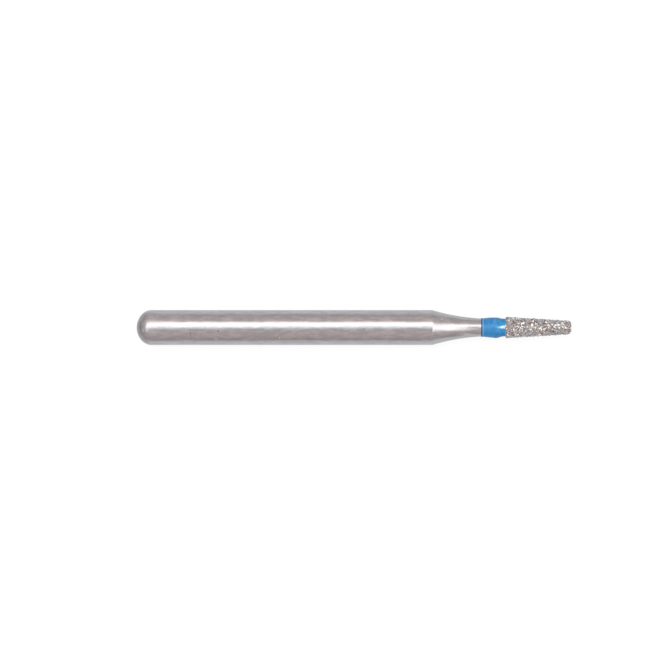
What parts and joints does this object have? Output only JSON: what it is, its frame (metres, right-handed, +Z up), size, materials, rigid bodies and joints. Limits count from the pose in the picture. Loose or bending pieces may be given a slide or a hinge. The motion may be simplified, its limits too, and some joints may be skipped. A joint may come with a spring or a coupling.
{
  "type": "dental bur",
  "caption": "Tapered flat-end diamond dental bur on a friction-grip shank, with a waisted neck and a blue band.",
  "frame": {"origin": "on the bur's axis, at the middle of the straight cylinder that the chuck grips", "axes": "+X along the axis towards the cutting tip, +Z up; the bur is the same all round X"},
  "size_m": [0.0199, 0.0016, 0.0016],
  "materials": {
    "steel": "ground satin",
    "blue_lacquer": "gloss lacquer",
    "nickel": "matt plated",
    "diamond": "cut crystal"
  },
  "bodies": {
    "root": {"steel_blank": "steel", "colour_band": "blue_lacquer", "nickel_bond": "nickel", "diamond_grains": "diamond"}
  },
  "joints": []
}
